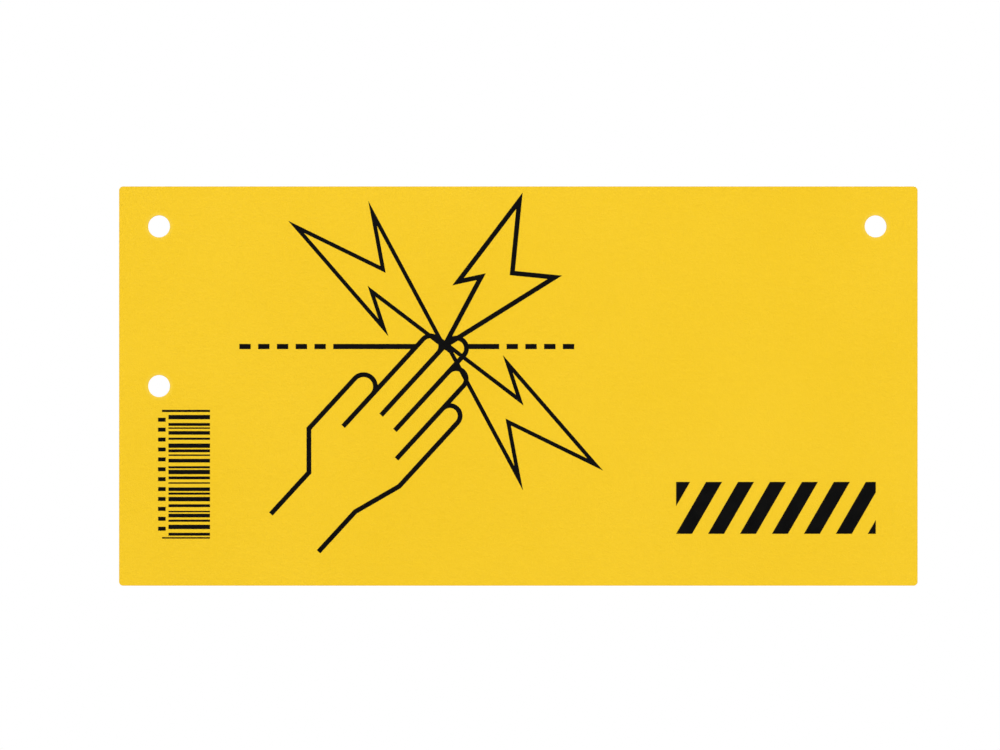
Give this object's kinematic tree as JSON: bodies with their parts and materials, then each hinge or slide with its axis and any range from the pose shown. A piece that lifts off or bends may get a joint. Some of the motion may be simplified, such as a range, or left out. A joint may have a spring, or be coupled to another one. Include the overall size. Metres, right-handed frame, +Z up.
{
  "type": "electric fence warning sign",
  "caption": "Thin rectangular yellow plastic sign with punched fixing holes, printed in black with a hand touching a live wire.",
  "frame": {"origin": "midway between the two top holes, at half the thickness of the sheet", "axes": "+Z up, +X to the right as the front is read, and the front faces -Y"},
  "size_m": [0.1999, 0.001, 0.1],
  "materials": {
    "yellow_sheet": "satin",
    "black_ink": "satin"
  },
  "bodies": {
    "root": {"sign_plate": "yellow_sheet", "front_figure": "black_ink", "back_figure": "black_ink", "bar_strip": "black_ink", "stripe_band": "black_ink"}
  },
  "joints": []
}
